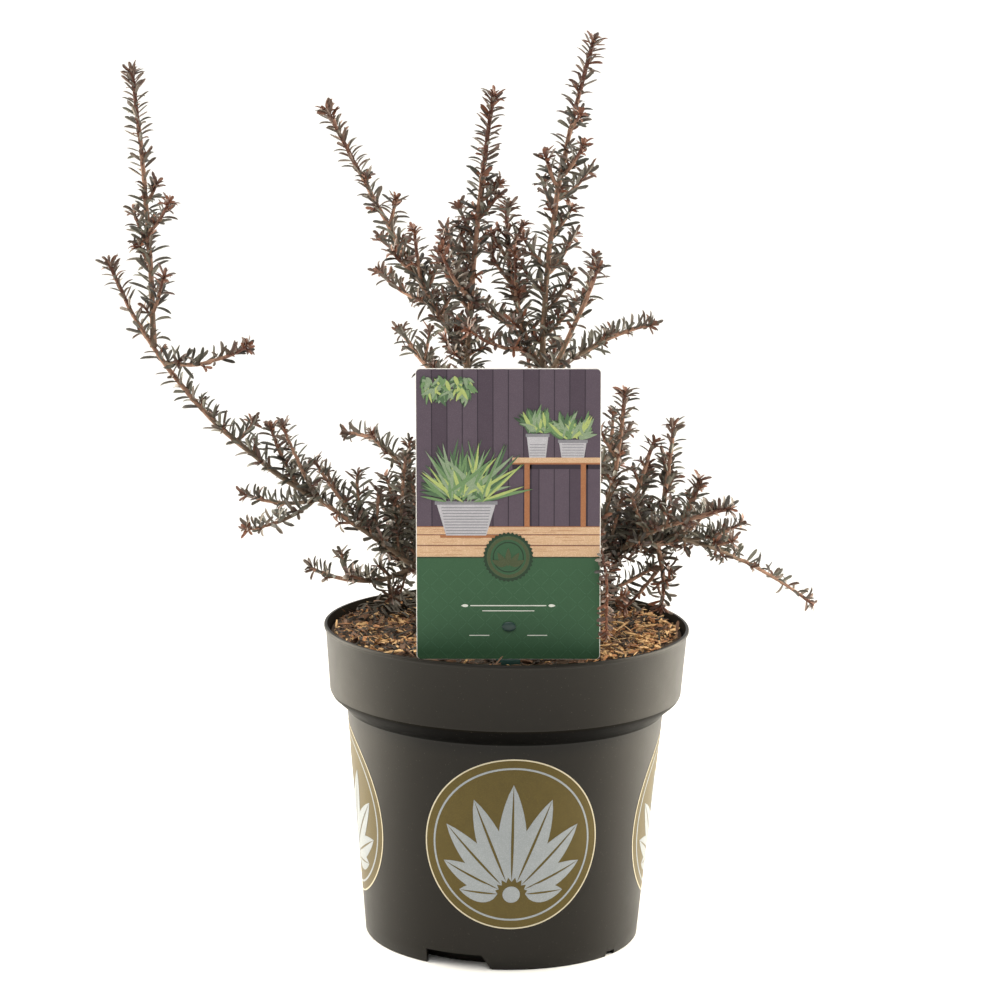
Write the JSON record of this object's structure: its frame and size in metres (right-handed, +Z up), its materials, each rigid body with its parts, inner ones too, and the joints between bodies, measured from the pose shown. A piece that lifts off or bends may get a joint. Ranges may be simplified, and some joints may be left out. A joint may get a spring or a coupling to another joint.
{
  "type": "potted chocolate box podocarpus shrub",
  "caption": "Small evergreen shrub with thin upright and drooping shoots of narrow bronze-green leaves, rooted in compost in a round nursery pot, with a plain picture label on a stake.",
  "frame": {"origin": "middle of the pot's flat underside, on the ground", "axes": "+Z up, +X to the right of the label, and -Y the side that the label's printed face looks to"},
  "size_m": [0.3804, 0.2256, 0.4832],
  "materials": {
    "pot": "satin moulded taupe plastic",
    "compost": "rough shredded bark and fibre",
    "card": "printed and lightly coated card",
    "stake": "smooth dark green plastic",
    "bark": "fissured grey-brown bark",
    "foliage": "leathery bronze-green leaves"
  },
  "bodies": {
    "root": {"back_foliage": "foliage", "back_left_bough": "bark", "back_left_foliage": "foliage", "back_low_left_foliage": "foliage", "back_low_right_foliage": "foliage", "back_right_bough": "bark", "back_right_foliage": "foliage", "back_upper_foliage": "foliage", "compost": "compost", "front_bough": "bark", "front_left_foliage": "foliage", "front_low_foliage": "foliage", "front_right_foliage": "foliage", "label_card": "card", "label_stake": "stake", "left_arm_foliage": "foliage", "left_back_upper_foliage": "foliage", "left_bottom_foliage": "foliage", "left_bough": "bark", "left_low_bough": "bark", "left_mid_foliage": "foliage", "left_outer_foliage": "foliage", "left_tall_foliage": "foliage", "pot": "pot", "right_back_tall_foliage": "foliage", "right_bough": "bark", "right_droop_foliage": "foliage", "right_front_foliage": "foliage", "right_front_tall_foliage": "foliage", "right_hanging_foliage": "foliage", "right_level_foliage": "foliage", "right_low_foliage": "foliage", "right_mid_tall_foliage": "foliage", "right_outer_foliage": "foliage", "trunk": "bark", "upper_centre_foliage": "foliage", "upper_inner_foliage": "foliage", "upper_left_bough": "bark", "upper_left_foliage": "foliage", "upper_left_low_foliage": "foliage", "upper_middle_foliage": "foliage", "upper_right_bough": "bark", "upper_right_foliage": "foliage"}
  },
  "joints": []
}
